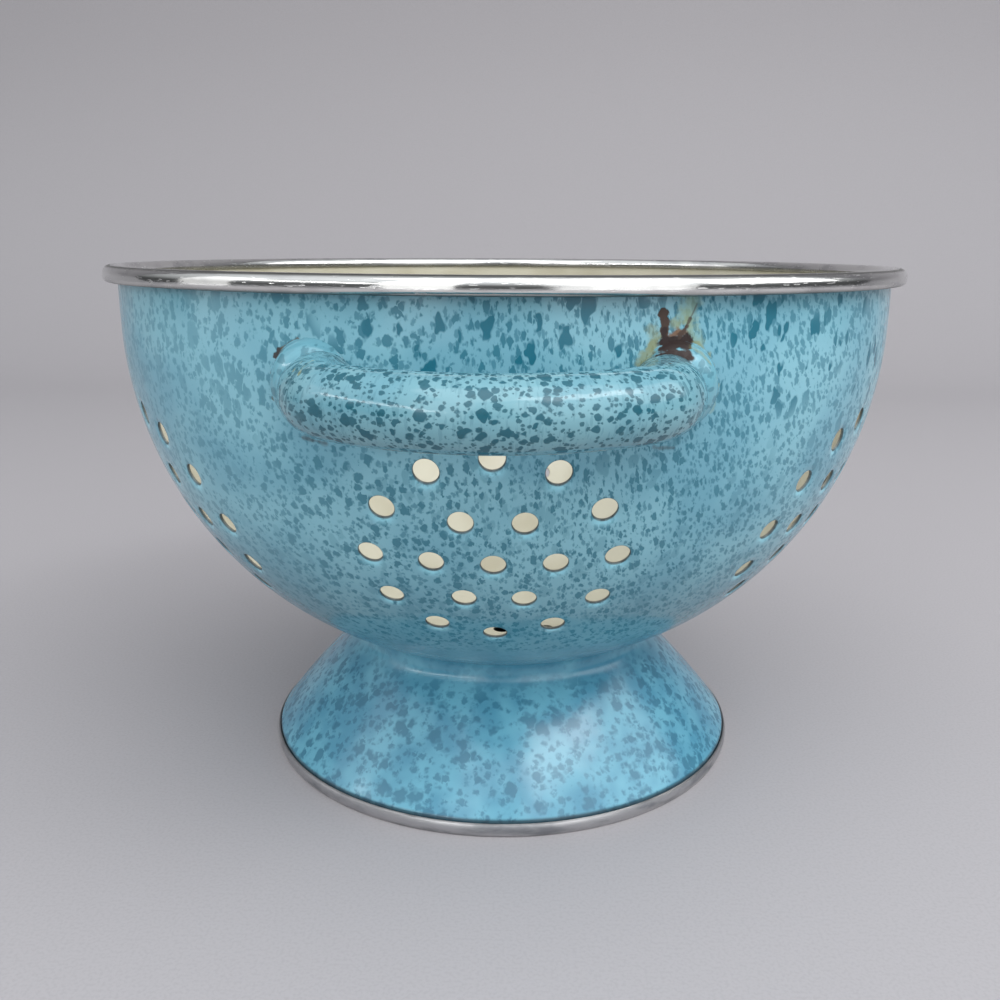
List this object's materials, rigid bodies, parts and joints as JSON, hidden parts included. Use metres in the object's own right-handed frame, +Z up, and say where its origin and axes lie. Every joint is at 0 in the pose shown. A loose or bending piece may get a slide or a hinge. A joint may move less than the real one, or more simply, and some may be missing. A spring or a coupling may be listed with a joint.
{
  "type": "colander",
  "caption": "Footed enamelled steel colander with rosettes of drain holes, a tube handle on each side and stainless bands on its rim and foot.",
  "frame": {"origin": "on the table, at the centre of the foot", "axes": "+Z up along the axis of the bowl; the handles are at -Y, the front, and at +Y, the back; +X to the right seen from the front"},
  "size_m": [0.24, 0.2944, 0.1566],
  "materials": {
    "enamel_bowl": "glossy vitreous enamel, light blue with teal speckles, off-white inside",
    "polished_steel": "polished stainless band, lightly scratched",
    "enamel_foot": "glossy vitreous enamel, blue with soft teal speckles",
    "dull_steel": "worn stainless band",
    "enamel_handle": "glossy vitreous enamel, pale blue with fine teal speckles"
  },
  "bodies": {
    "root": {"bowl": "enamel_bowl", "rim_trim": "polished_steel", "foot": "enamel_foot", "foot_trim": "dull_steel", "handle_front": "enamel_handle", "handle_back": "enamel_handle"}
  },
  "joints": []
}
